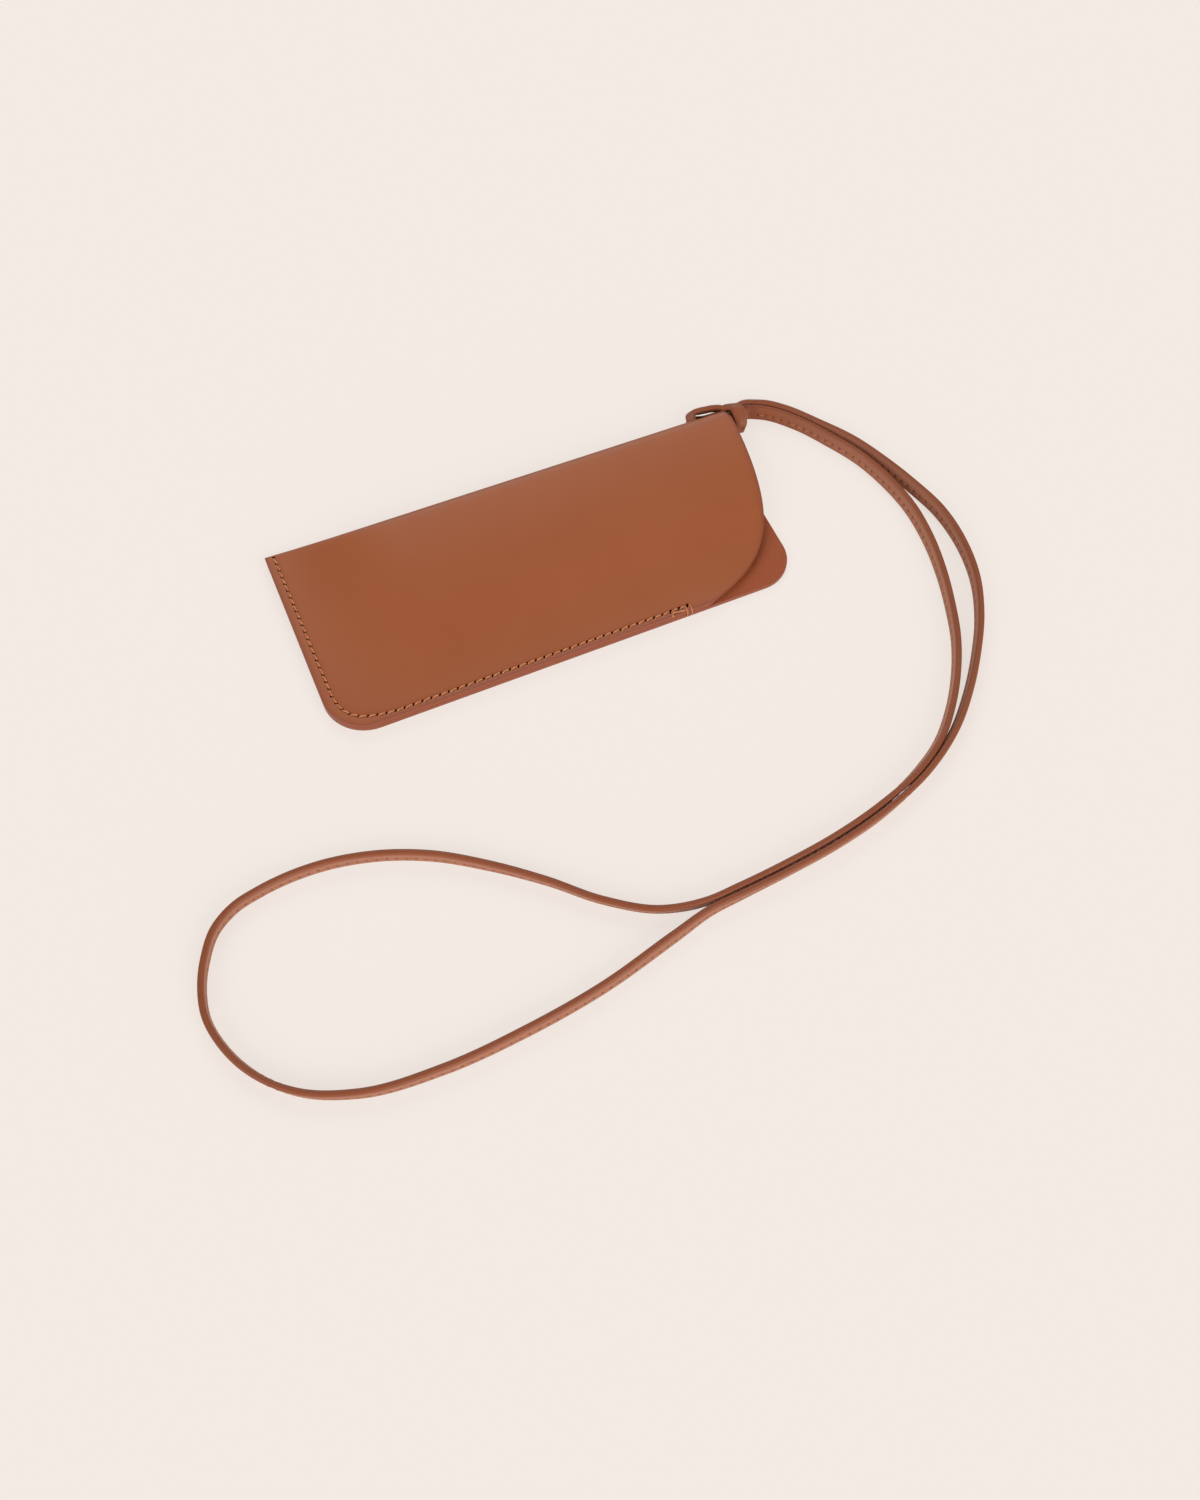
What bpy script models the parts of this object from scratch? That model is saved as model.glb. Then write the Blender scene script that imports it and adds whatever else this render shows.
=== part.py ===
"""Leather glasses pouch with a looped neck strap, modelled in metres, +Z up.

The pouch lies on its back leaf on the XY plane. +X runs along it to its open mouth and +Y
to its folded edge. One leather blank is folded along the top, and its two leaves are
cemented and stitched along the closed end and the long bottom edge. A flat strap is
hitched through a hole in the far side of the round fold, round the corner where the fold
meets the mouth, and lies beside the pouch in one long teardrop loop.
"""

from math import cos, pi, radians, sin, sqrt

import bmesh
import bpy
from mathutils import Vector

# The leather blank, folded once
leather = 0.0017
pouch_length = 0.1805
closed_end_height = 0.0820
fold_thickness = 0.0088
fold_opening_length = 0.045
fold_opening_drop = 0.0032
fold_taper_drop = 0.0021
climb_power = 0.8
closed_corner_radius = 0.0154

# The back leaf's mouth edge, straight with one round corner
back_leaf_length = pouch_length - 0.0062
fold_length = pouch_length - 0.0022
mouth_corner_radius = 0.0135
mouth_straight_height = 0.030

# The front leaf's mouth edge, one long curve from a crest near the fold to a low foot
crest_height = closed_end_height - 0.0116
crest_rounding = 0.0050
crest_pull = 0.0503
crest_drift = 0.0027
foot_length = pouch_length - 0.0418
foot_pull = 0.0272
foot_rise = 0.0084

# The cement line under the stitched margin, which closes two sides
cement_gap = 0.0003
cement_width = 0.0042
cement_inset = 0.0002
cement_bite = 0.00005
cement_end_length = foot_length - 0.0027

# The strap's hole, through the far side of the round fold near its mouth
hole_radius = 0.0031
hole_from_mouth = 0.0110

# The strap, a strip folded lengthwise, with its folded edge up
strap_width = 0.0053
strap_thickness = 0.0022
pressed_width = 0.0050
pressed_thickness = 0.0019
pinched_width = 0.0038
pair_clearance = 0.00025

cutter_overrun = 0.0012
pouch_sharp_angle = 35
strap_sharp_angle = 50

corner_rows = 8
leaf_rows = 9
fold_rows = 10
columns = 36
hole_sides = 32
cement_arc_steps = 10
mouth_halvings = 40
band_sides = 10
band_steps = 3
loop_steps = 12
loop_points = 78


def new_object(name, mesh, color, roughness):
    """One named object with its own material."""
    obj = bpy.data.objects.new(name, mesh)
    bpy.context.collection.objects.link(obj)
    material = bpy.data.materials.new(name + " leather")
    material.use_nodes = True
    shader = material.node_tree.nodes["Principled BSDF"]
    shader.inputs["Base Color"].default_value = (*color, 1)
    shader.inputs["Roughness"].default_value = roughness
    shader.inputs["Metallic"].default_value = 0
    mesh.materials.append(material)
    return obj


def ease(share):
    """Smooth step from 0 to 1."""
    share = min(max(share, 0), 1)
    return share * share * (3 - 2 * share)


def place(along, up):
    """World X and Y of a point of the pouch, from its closed end and its bottom edge."""
    return along - pouch_length / 2, up - closed_end_height / 2


# The folded pouch

def fold_edge(along):
    """Height of the folded edge above the bottom edge: the rounder fold takes up leather."""
    opened = ease(along / fold_opening_length)
    return closed_end_height - fold_opening_drop * opened - fold_taper_drop * along / pouch_length


def fold_height(along):
    """Height that the front leaf climbs from the closed, pressed end to the open fold."""
    pressed = 2 * leather + cement_gap
    start = cement_width + cement_inset
    opened = ease((along - start) / (fold_opening_length - start))
    return (fold_thickness - pressed) * opened


def front_leaf_height(along, up):
    """Middle of the front leaf's thickness above the table."""
    pressed = leather + cement_gap + leather / 2
    start = cement_width + cement_inset
    climb = ease((up - start) / (fold_base(along) - start)) ** climb_power
    return pressed + fold_height(along) * climb


def fold_base(along):
    """Height above the bottom edge where the leaves end and the round fold begins."""
    outer_radius = (2 * leather + cement_gap + fold_height(along)) / 2
    return fold_edge(along) - outer_radius


def closed_end(up):
    """Left outline: straight, with one large round corner at the bottom."""
    if up >= closed_corner_radius:
        return 0
    drop = closed_corner_radius - up
    return closed_corner_radius - sqrt(closed_corner_radius ** 2 - drop ** 2)


def back_mouth(up):
    """Right outline of the back leaf."""
    if up < mouth_corner_radius:
        drop = mouth_corner_radius - up
        return back_leaf_length - mouth_corner_radius + sqrt(mouth_corner_radius ** 2 - drop ** 2)
    widening = ease((up - mouth_straight_height) / (fold_base(fold_length) - mouth_straight_height))
    return back_leaf_length + (fold_length - back_leaf_length) * widening


def front_mouth(up):
    """Right outline of the front leaf: a cubic curve from its crest down to its foot."""
    if up > crest_height:
        rounding = ease((up - crest_height) / crest_rounding)
        return pouch_length - (pouch_length - fold_length) * rounding
    alongs = (pouch_length, pouch_length - crest_drift, foot_length + foot_pull, foot_length)
    ups = (crest_height, crest_height - crest_pull, foot_rise, 0)
    low, high = 0, 1
    for _ in range(mouth_halvings):
        share = (low + high) / 2
        if cubic(ups, share) > up:
            low = share
        else:
            high = share
    return cubic(alongs, share)


def cubic(values, share):
    """Point of a cubic curve with four control values."""
    rest = 1 - share
    weights = (rest ** 3, 3 * rest ** 2 * share, 3 * rest * share ** 2, share ** 3)
    return sum(value * weight for value, weight in zip(values, weights))


def leaf_heights(along):
    """Heights of the rows of one leaf, closest together in the round corners."""
    rows = []
    for step in range(corner_rows):
        rows.append(closed_corner_radius * (1 - cos(pi / 2 * step / corner_rows)))
    top = fold_base(along)
    for step in range(leaf_rows + 1):
        rows.append(closed_corner_radius + (top - closed_corner_radius) * step / leaf_rows)
    return rows


def blank_row(mouth, row):
    """Middle of the leather across one row of a leaf, from the closed end to the mouth."""
    mouth_end = mouth(leaf_heights(fold_length)[row])
    start = closed_end(leaf_heights(0)[row])
    points = []
    for column in range(columns + 1):
        along = start + (mouth_end - start) * column / columns
        up = leaf_heights(along)[row]
        height = front_leaf_height(along, up) if mouth == front_mouth else leather / 2
        points.append(Vector((*place(along, up), height)))
    return points


def fold_row(turn_share):
    """Middle of the leather along one line of the round fold."""
    back_end = back_mouth(fold_base(fold_length))
    front_end = front_mouth(fold_base(fold_length))
    mouth_end = back_end + (front_end - back_end) * turn_share
    points = []
    for column in range(columns + 1):
        along = mouth_end * column / columns
        base = fold_base(along)
        low = leather / 2
        high = front_leaf_height(along, base)
        turn = pi * turn_share
        up = base + (fold_edge(along) - leather / 2 - base) * sin(turn)
        height = (low + high) / 2 - (high - low) / 2 * cos(turn)
        points.append(Vector((*place(along, up), height)))
    return points


def pouch_rows():
    """The blank's rows: up the back leaf, round the fold and down the front leaf."""
    last = corner_rows + leaf_rows
    rows = [blank_row(back_mouth, row) for row in range(last)]
    rows += [fold_row(step / fold_rows) for step in range(fold_rows + 1)]
    rows += [blank_row(front_mouth, row) for row in reversed(range(last))]
    return rows


def leather_sheet(rows):
    """A closed sheet of the leather's thickness round the rows of its middle surface."""
    mesh = bpy.data.meshes.new("pouch_body")
    bm = bmesh.new()
    count = len(rows)
    width = len(rows[0])
    outer, inner = [], []
    for r in range(count):
        outer_row, inner_row = [], []
        for c in range(width):
            across = rows[min(r + 1, count - 1)][c] - rows[max(r - 1, 0)][c]
            along = rows[r][min(c + 1, width - 1)] - rows[r][max(c - 1, 0)]
            normal = across.cross(along).normalized()
            outer_row.append(bm.verts.new(rows[r][c] + normal * leather / 2))
            inner_row.append(bm.verts.new(rows[r][c] - normal * leather / 2))
        outer.append(outer_row)
        inner.append(inner_row)
    for r in range(count - 1):
        for c in range(width - 1):
            bm.faces.new((outer[r][c], outer[r][c + 1], outer[r + 1][c + 1], outer[r + 1][c]))
            bm.faces.new((inner[r][c], inner[r + 1][c], inner[r + 1][c + 1], inner[r][c + 1]))
    for r in range(count - 1):
        for c in (0, width - 1):
            bm.faces.new((outer[r][c], outer[r + 1][c], inner[r + 1][c], inner[r][c]))
    for c in range(width - 1):
        for r in (0, count - 1):
            bm.faces.new((outer[r][c], inner[r][c], inner[r][c + 1], outer[r][c + 1]))
    bmesh.ops.recalc_face_normals(bm, faces=bm.faces)
    bm.to_mesh(mesh)
    bm.free()
    return mesh


def margin_line(inset):
    """Points along the closed end, round the corner and along the bottom edge."""
    radius = closed_corner_radius - inset
    points = [(inset, fold_base(0))]
    for step in range(cement_arc_steps + 1):
        angle = pi / 2 * step / cement_arc_steps
        points.append((closed_corner_radius - radius * cos(angle),
                       closed_corner_radius - radius * sin(angle)))
    points.append((cement_end_length, inset))
    return points


def prism(name, outline, low, high):
    """A closed prism on an outline."""
    bm = bmesh.new()
    base = bm.faces.new([bm.verts.new((x, y, low)) for x, y in outline])
    raised = bmesh.ops.extrude_face_region(bm, geom=[base])
    moved = [item for item in raised["geom"] if isinstance(item, bmesh.types.BMVert)]
    bmesh.ops.translate(bm, verts=moved, vec=(0, 0, high - low))
    bmesh.ops.recalc_face_normals(bm, faces=bm.faces)
    mesh = bpy.data.meshes.new(name)
    bm.to_mesh(mesh)
    bm.free()
    helper = bpy.data.objects.new(name, mesh)
    bpy.context.collection.objects.link(helper)
    helper.hide_render = True
    helper.display_type = 'WIRE'
    return helper


def cement_line():
    """The strip of cement between the two leaves, just inside the outline."""
    outline = margin_line(cement_inset) + list(reversed(margin_line(cement_inset + cement_width)))
    places = [place(along, up) for along, up in outline]
    return prism("cement line", places, leather - cement_bite, leather + cement_gap + cement_bite)


def hole_punch():
    """The round punch for the strap's hole, square through the fold's far side."""
    along = fold_length - hole_from_mouth
    x, y = place(along, fold_edge(along))
    middle = (2 * leather + cement_gap + fold_height(along)) / 2
    turns = [2 * pi * step / hole_sides for step in range(hole_sides)]
    circle = [(hole_radius * cos(turn), hole_radius * sin(turn)) for turn in turns]
    punch = prism("hole punch", circle, -cutter_overrun, leather + cutter_overrun)
    punch.location = (x, y, middle)
    punch.rotation_euler = (pi / 2, 0, 0)
    return punch


def combine(obj, helper, operation):
    """A Boolean of one object with a helper shape."""
    modifier = obj.modifiers.new(helper.name, 'BOOLEAN')
    modifier.operation = operation
    modifier.solver = 'EXACT'
    modifier.object = helper


def make_pouch_body():
    obj = new_object("pouch_body", leather_sheet(pouch_rows()), (0.34, 0.105, 0.040), 0.48)
    combine(obj, cement_line(), 'UNION')
    combine(obj, hole_punch(), 'DIFFERENCE')
    obj.data.shade_smooth()
    obj.data.set_sharp_from_angle(angle=radians(pouch_sharp_angle))


# The strap where it is hitched

# Both strands side by side, from the loop's ends in to the hole: the pair's middle, the
# strands' lean and how far the pair has rolled into a stack, in degrees, and the share of
# the way that they are pinched
pair_route = [
    (0.10140, 0.0349, 0.00250, 28, 0, 0),
    (0.09985, 0.0356, 0.00300, 33, 8, 0.1),
    (0.09810, 0.0357, 0.00360, 40, 20, 0.4),
    (0.09610, 0.0350, 0.00410, 48, 35, 0.8),
    (0.09390, 0.0334, 0.00450, 60, 52, 1),
    (0.09160, 0.0319, 0.00450, 76, 72, 1),
    (0.08900, 0.0306, 0.00440, 88, 87, 0.8),
    (0.08650, 0.0300, 0.00440, 90, 90, 0.8),
    (0.08400, 0.0298, 0.00440, 90, 90, 1),
]


def strand_stations(side):
    """One strand of the pair: its places, the directions of its wide side and its sizes."""
    stations = []
    last = len(pair_route) - 1
    for index, (x, y, z, lean, roll, pinch) in enumerate(pair_route):
        behind = Vector(pair_route[max(index - 1, 0)][:2])
        ahead = Vector(pair_route[min(index + 1, last)][:2])
        inward = (ahead - behind).normalized()
        across = Vector((inward.y, -inward.x, 0))
        upright = Vector((0, 0, 1))
        lean, roll = radians(lean), radians(roll)
        wide = across * sin(lean) + upright * cos(lean)
        apart = across * cos(roll) - upright * sin(roll)
        width = strap_width + (pinched_width - strap_width) * pinch
        thickness = strap_thickness + (pressed_thickness - strap_thickness) * pinch
        spacing = (thickness + pair_clearance) / cos(lean - roll)
        stations.append((Vector((x, y, z)) + apart * side * spacing / 2, wide, width, thickness))
    return stations


# The rest of the band: out of the hole, along the foot of the fold, under both strands, up
# and over them, back along the fold and in at the hole again: place, direction of the wide
# side, width and thickness
under_route = [
    ((0.08120, 0.0300, 0.00338), (0.15, 0.99, 0), pinched_width, pressed_thickness),
    ((0.07890, 0.0310, 0.00338), (0.60, 0.80, 0), pinched_width, pressed_thickness),
    ((0.07745, 0.0331, 0.00338), (0.95, 0.30, 0), pinched_width, pressed_thickness),
    ((0.07710, 0.0350, 0.00335), (1, 0, 0), pinched_width, pressed_thickness),
    ((0.07720, 0.0370, 0.00300), (1, -0.10, 0), pinched_width, pressed_thickness),
    ((0.07820, 0.0384, 0.00220), (0.70, -0.70, 0), pinched_width, pressed_thickness),
    ((0.08020, 0.0386, 0.00135), (0.05, -1, 0), pinched_width, pressed_thickness),
    ((0.08260, 0.0380, 0.00110), (-0.20, -0.98, 0), pinched_width, pressed_thickness),
    ((0.08560, 0.0377, 0.00107), (0, -1, 0), pinched_width, pressed_thickness),
    ((0.08860, 0.0376, 0.00107), (0.05, -1, 0), pinched_width, pressed_thickness),
    ((0.09120, 0.0370, 0.00107), (-0.55, -0.83, 0), pinched_width, pressed_thickness),
    ((0.09280, 0.0348, 0.00107), (-0.95, -0.30, 0), pinched_width, pressed_thickness),
    ((0.09300, 0.0318, 0.00107), (-1, 0.05, 0), pinched_width, pressed_thickness),
    ((0.09280, 0.0290, 0.00125), (-1, 0.10, 0), pinched_width, pressed_thickness),
    ((0.09250, 0.0271, 0.00230), (-1, 0.10, 0), pressed_width, pressed_thickness),
    ((0.09270, 0.0268, 0.00420), (-1, 0.15, 0), pressed_width, pressed_thickness),
    ((0.09320, 0.0277, 0.00590), (-1, 0.25, 0), pressed_width, pressed_thickness),
    ((0.09370, 0.0296, 0.00730), (-0.97, 0.25, 0), pressed_width, pressed_thickness),
    ((0.09395, 0.0319, 0.00810), (-0.97, 0.20, 0), pressed_width, pressed_thickness),
    ((0.09380, 0.0345, 0.00800), (-0.98, 0.10, 0.05), pressed_width, pressed_thickness),
    ((0.09310, 0.0368, 0.00715), (-0.86, -0.10, 0.45), pressed_width, pressed_thickness),
    ((0.09140, 0.0381, 0.00580), (-0.45, -0.35, 0.80), pressed_width, pressed_thickness),
    ((0.08900, 0.0387, 0.00520), (-0.22, -0.45, 0.87), pressed_width, pressed_thickness),
    ((0.08640, 0.0394, 0.00510), (-0.20, -0.45, 0.87), pressed_width, pressed_thickness),
    ((0.08400, 0.0400, 0.00505), (-0.20, -0.45, 0.87), pressed_width, pressed_thickness),
    ((0.08160, 0.0403, 0.00500), (-0.20, -0.45, 0.87), pressed_width, pressed_thickness),
    ((0.07940, 0.0400, 0.00505), (-0.10, -0.60, 0.79), pressed_width, pressed_thickness),
    ((0.07770, 0.0386, 0.00520), (0.40, -0.75, 0.53), pinched_width, pressed_thickness),
    ((0.07710, 0.0368, 0.00540), (0.93, -0.30, 0.20), pinched_width, pressed_thickness),
    ((0.07710, 0.0350, 0.00540), (1, 0, 0), pinched_width, pressed_thickness),
    ((0.07745, 0.0331, 0.00538), (0.95, 0.30, 0), pinched_width, pressed_thickness),
    ((0.07890, 0.0310, 0.00538), (0.60, 0.80, 0), pinched_width, pressed_thickness),
    ((0.08120, 0.0300, 0.00542), (0.15, 0.99, 0), pinched_width, pressed_thickness),
]


def hitch_stations():
    """The whole hitched band, from the loop's outer strand to its inner one."""
    outer = strand_stations(1)
    hitch = [(Vector(spot), Vector(wide), *size) for spot, wide, *size in under_route]
    inner = list(reversed(strand_stations(-1)))
    return outer + hitch + inner


def blend(values, share):
    """Smooth curve through the two middle ones of four values."""
    before, start, end, after = values
    slope_in = (end - before) / 2
    slope_out = (after - start) / 2
    rise = end - start
    return (start + slope_in * share + (3 * rise - 2 * slope_in - slope_out) * share ** 2
            + (slope_in + slope_out - 2 * rise) * share ** 3)


def smooth_stations(route, steps):
    """Stations along a smooth curve through the route's points."""
    stations = []
    last = len(route) - 1
    for index in range(last):
        around = [route[min(max(index + shift, 0), last)] for shift in (-1, 0, 1, 2)]
        for step in range(steps):
            stations.append([blend([item[k] for item in around], step / steps) for k in range(4)])
    stations.append(list(route[last]))
    return stations


def band_mesh(name, route):
    """A closed band with a rounded section, swept along a route of places and directions."""
    stations = smooth_stations(route, band_steps)
    bm = bmesh.new()
    rings = []
    for index, (spot, wide, width, thickness) in enumerate(stations):
        ahead = stations[min(index + 1, len(stations) - 1)][0]
        behind = stations[max(index - 1, 0)][0]
        forward = (ahead - behind).normalized()
        wide = (wide - forward * wide.dot(forward)).normalized()
        thin = forward.cross(wide)
        flat = (width - thickness) / 2
        ring = []
        for side in range(band_sides):
            turn = pi * (side % (band_sides // 2)) / (band_sides // 2 - 1)
            end = 1 if side < band_sides // 2 else -1
            offset_wide = end * (flat + thickness / 2 * sin(turn))
            offset_thin = end * thickness / 2 * cos(turn)
            ring.append(bm.verts.new(spot + wide * offset_wide + thin * offset_thin))
        rings.append(ring)
    for near, far in zip(rings, rings[1:]):
        for side in range(band_sides):
            after = (side + 1) % band_sides
            bm.faces.new((near[side], near[after], far[after], far[side]))
    bm.faces.new(rings[0])
    bm.faces.new(rings[-1])
    bmesh.ops.recalc_face_normals(bm, faces=bm.faces)
    mesh = bpy.data.meshes.new(name)
    bm.to_mesh(mesh)
    bm.free()
    return mesh


def make_strap_hitch():
    mesh = band_mesh("strap_hitch", hitch_stations())
    obj = new_object("strap_hitch", mesh, (0.26, 0.085, 0.040), 0.50)
    obj.data.shade_smooth()
    obj.data.set_sharp_from_angle(angle=radians(strap_sharp_angle))


# The strap's long loop on the table: X, Y and its lean to the left of its run, in degrees

loop_route = [
    (0.1031, 0.0356, 28), (0.1070, 0.0336, 30), (0.1122, 0.0290, 32), (0.1208, 0.0177, 34),
    (0.1290, 0.0054, 34), (0.1352, -0.0085, 28), (0.1400, -0.0227, 28), (0.1433, -0.0360, 25),
    (0.1435, -0.0522, 16), (0.1402, -0.0681, 12), (0.1334, -0.0828, 10), (0.1238, -0.0969, 11),
    (0.1139, -0.1088, 13), (0.1027, -0.1196, 15), (0.0846, -0.1310, 17), (0.0653, -0.1382, 8),
    (0.0467, -0.1424, 10), (0.0284, -0.1447, 11), (0.0100, -0.1462, 6), (-0.0015, -0.1471, -1),
    (-0.0154, -0.1505, -9), (-0.0432, -0.1573, -8), (-0.0703, -0.1609, -7), (-0.0972, -0.1621, -3),
    (-0.1232, -0.1591, 3), (-0.1393, -0.1519, 9), (-0.1464, -0.1458, 12), (-0.1523, -0.1379, 12),
    (-0.1564, -0.1286, 8), (-0.1583, -0.1184, 3), (-0.1568, -0.1085, 0), (-0.1532, -0.0997, 0),
    (-0.1478, -0.0917, 0), (-0.1398, -0.0865, 0), (-0.1309, -0.0843, 0), (-0.1125, -0.0833, 0),
    (-0.0940, -0.0867, 0), (-0.0765, -0.0940, 0), (-0.0604, -0.1048, -3), (-0.0453, -0.1173, -9),
    (-0.0316, -0.1305, -13), (-0.0163, -0.1405, -14), (-0.0018, -0.1438, -9), (0.0099, -0.1434, -11),
    (0.0280, -0.1420, -12), (0.0463, -0.1397, -11), (0.0645, -0.1356, -9), (0.0833, -0.1285, -19),
    (0.0952, -0.1213, -17), (0.1056, -0.1114, -12), (0.1143, -0.0998, -10), (0.1209, -0.0882, -10),
    (0.1262, -0.0748, -12), (0.1306, -0.0604, -16), (0.1335, -0.0456, -21), (0.1343, -0.0304, -26),
    (0.1324, -0.0168, -28), (0.1284, -0.0031, -28), (0.1221, 0.0093, -28), (0.1146, 0.0214, -28),
    (0.1054, 0.0310, -28), (0.1020, 0.0330, -28),
]


def loop_stations():
    """Evenly spaced places and leans on a smooth curve through the loop's route."""
    fine = smooth_stations([(Vector((x, y)), lean, 0, 0) for x, y, lean in loop_route], loop_steps)
    lengths = [0]
    for near, far in zip(fine, fine[1:]):
        lengths.append(lengths[-1] + (far[0] - near[0]).length)
    print("strap loop length %.4f m" % lengths[-1])
    stations = []
    index = 0
    for point in range(loop_points):
        target = lengths[-1] * point / (loop_points - 1)
        while index < len(fine) - 2 and lengths[index + 1] < target:
            index += 1
        share = (target - lengths[index]) / (lengths[index + 1] - lengths[index])
        spot = fine[index][0].lerp(fine[index + 1][0], share)
        lean = fine[index][1] + (fine[index + 1][1] - fine[index][1]) * share
        stations.append((spot, radians(lean)))
    return stations


def make_strap_loop():
    """The free strap on edge, one unbroken band whose folded edge leans with the hitch."""
    curve = bpy.data.curves.new("strap_loop", 'CURVE')
    curve.dimensions = '3D'
    curve.twist_mode = 'Z_UP'
    curve.use_fill_caps = True
    curve.bevel_depth = strap_thickness / 2
    curve.bevel_resolution = 2
    curve.extrude = (strap_width - strap_thickness) / 2
    stations = loop_stations()
    spline = curve.splines.new('POLY')
    spline.points.add(len(stations) - 1)
    for point, (spot, lean) in zip(spline.points, stations):
        height = curve.extrude * cos(lean) + curve.bevel_depth
        point.co = (*spot, height, 1)
        point.tilt = -lean
    new_object("strap_loop", curve, (0.27, 0.090, 0.043), 0.50)


def main():
    for obj in list(bpy.data.objects):
        bpy.data.objects.remove(obj)
    make_pouch_body()
    make_strap_hitch()
    make_strap_loop()


main()
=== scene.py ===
"""Leather glasses pouch with a hitched neck strap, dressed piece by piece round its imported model."""

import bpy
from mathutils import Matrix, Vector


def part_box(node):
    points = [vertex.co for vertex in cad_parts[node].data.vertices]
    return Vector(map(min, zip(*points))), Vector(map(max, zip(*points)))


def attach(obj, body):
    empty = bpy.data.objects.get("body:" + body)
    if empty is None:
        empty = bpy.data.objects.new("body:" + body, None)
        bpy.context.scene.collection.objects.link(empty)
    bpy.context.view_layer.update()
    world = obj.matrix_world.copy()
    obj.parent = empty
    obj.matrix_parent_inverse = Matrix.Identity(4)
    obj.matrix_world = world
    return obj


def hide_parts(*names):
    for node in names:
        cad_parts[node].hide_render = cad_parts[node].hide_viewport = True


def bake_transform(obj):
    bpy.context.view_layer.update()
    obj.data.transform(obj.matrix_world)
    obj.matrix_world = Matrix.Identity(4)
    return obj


bl_info = {
    "name": "Leather Glasses Pouch",
    "version": (1, 0, 0),
    "blender": (4, 5, 0),
    "location": "3D View > Sidebar > Glasses Pouch",
    "description": "Makes a folded leather glasses pouch with its stitching, neck strap and stage",
    "category": "Add Mesh",
}

from bisect import bisect_left
from math import atan2, cos, exp, pi, radians, sin, sqrt

import bmesh
import bpy
from bpy.props import FloatProperty, FloatVectorProperty, PointerProperty
from mathutils import Matrix, Vector
from mathutils.kdtree import KDTree

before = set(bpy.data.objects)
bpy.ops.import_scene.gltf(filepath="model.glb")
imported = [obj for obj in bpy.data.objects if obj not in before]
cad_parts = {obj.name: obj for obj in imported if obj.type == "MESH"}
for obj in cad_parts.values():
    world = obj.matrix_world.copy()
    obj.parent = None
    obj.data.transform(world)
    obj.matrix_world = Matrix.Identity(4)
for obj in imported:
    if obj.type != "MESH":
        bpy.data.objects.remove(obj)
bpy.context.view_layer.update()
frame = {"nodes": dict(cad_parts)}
millimetre = 0.001


# Colour

def linear(hex_code):
    """Linear colour, with alpha, of an sRGB hex value."""
    channels = []
    for start in (1, 3, 5):
        value = int(hex_code[start:start + 2], 16) / 255
        channels.append(value / 12.92 if value <= 0.04045 else ((value + 0.055) / 1.055) ** 2.4)
    return (*channels, 1)


# Settings

def size_setting(label, description, default):
    return FloatProperty(name=label, description=description, default=default,
                         min=0, precision=5, unit='LENGTH')


def colour_setting(label, description, hex_code):
    return FloatVectorProperty(name=label, description=description, default=linear(hex_code),
                               size=4, min=0, max=1, subtype='COLOR')


class PouchSettings(bpy.types.PropertyGroup):
    """Sizes and colours of the folded leather pouch."""
    leather: size_setting("Leather", "Thickness of the leather blank", 0.0017)
    length: size_setting("Length", "Closed end to the furthest point of the mouth", 0.1805)
    height: size_setting("Height", "Bottom edge to the fold at the closed end", 0.0820)
    fold_thickness: size_setting("Fold", "Height of the open fold above the table",
                                 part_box("pouch_body")[1].z)
    edge_radius: size_setting("Edge radius", "Rounding of the burnished edges", 0.0005)
    grain_colour: colour_setting("Grain colour", "Tan of the smooth outer face", "#984D1F")
    flesh_colour: colour_setting("Flesh colour", "Redder tan of the inner face", "#984E2E")
    edge_colour: colour_setting("Edge colour", "Dye of the burnished edges", "#8A4426")


class StitchSettings(bpy.types.PropertyGroup):
    """Sizes and colour of the saddle stitching."""
    pitch: size_setting("Pitch", "Distance from hole to hole", 0.0032)
    thread: size_setting("Thread", "Diameter of the pouch's waxed thread", 0.00050)
    slit_length: size_setting("Slit length", "Length of a pricked slit", 0.00150)
    slit_width: size_setting("Slit width", "Width of a pricked slit", 0.00075)
    strap_thread: size_setting("Strap thread", "Diameter of the strap's finer thread", 0.00046)
    colour: colour_setting("Thread colour", "Light tan of the waxed thread", "#C58256")
    # The slit walls' dark colour is painted shade in the slits
    slit_shade_colour: colour_setting("Hole colour", "Raw leather darkened as painted shade inside the slits", "#4A160A")
    strap_colour: colour_setting("Strap thread colour", "Orange tan of the finer thread", "#B06B3F")


class StrapSettings(bpy.types.PropertyGroup):
    """Sizes and colours of the folded neck strap."""
    width: size_setting("Width", "From the folded edge to the stitched edge", 0.0053)
    thickness: size_setting("Thickness", "Both layers of the strap together", 0.0022)
    seam_inset: size_setting("Seam inset", "From the raw edges to the stitching", 0.0018)
    # The strap's darker fold and lighter flanks are partly the leather's own tones and partly painted side
    # light and sheen
    grain_colour: colour_setting("Grain colour", "Reddish tan of the strap's folded edge", "#874729")
    flank_colour: colour_setting("Flank colour", "Rubbed, lighter tan of its sewn faces", "#A46C54")


class StageSettings(bpy.types.PropertyGroup):
    """The floor, the lamps and the picture."""
    floor_size: size_setting("Floor", "Side of the pale floor", 6.0)
    floor_colour: colour_setting("Floor colour", "Warm off-white paper", "#F4EBE4")
    floor_glow: FloatProperty(name="Floor glow", default=0.80, min=0, max=1,
                              description="How far the floor's own light softens the shadows")
    sky_strength: FloatProperty(name="Sky", description="Even light from all round", default=0.12, min=0)
    lamp_strength: FloatProperty(name="Lamps", description="Strength of the softboxes", default=1.45, min=0)
    lens: FloatProperty(name="Lens", description="Focal length for a 36 mm long side",
                        default=37.2, min=1, unit='CAMERA')


# Nodes and materials

def add_node(tree, kind, settings=None, links=None):
    """Add one node with its settings, values and links."""
    node = tree.nodes.new(kind)
    for name, value in (settings or {}).items():
        if isinstance(name, str) and hasattr(node, name):
            setattr(node, name, value)
        else:
            node.inputs[name].default_value = value
    for name, socket in (links or {}).items():
        tree.links.new(socket, node.inputs[name])
    return node


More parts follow.
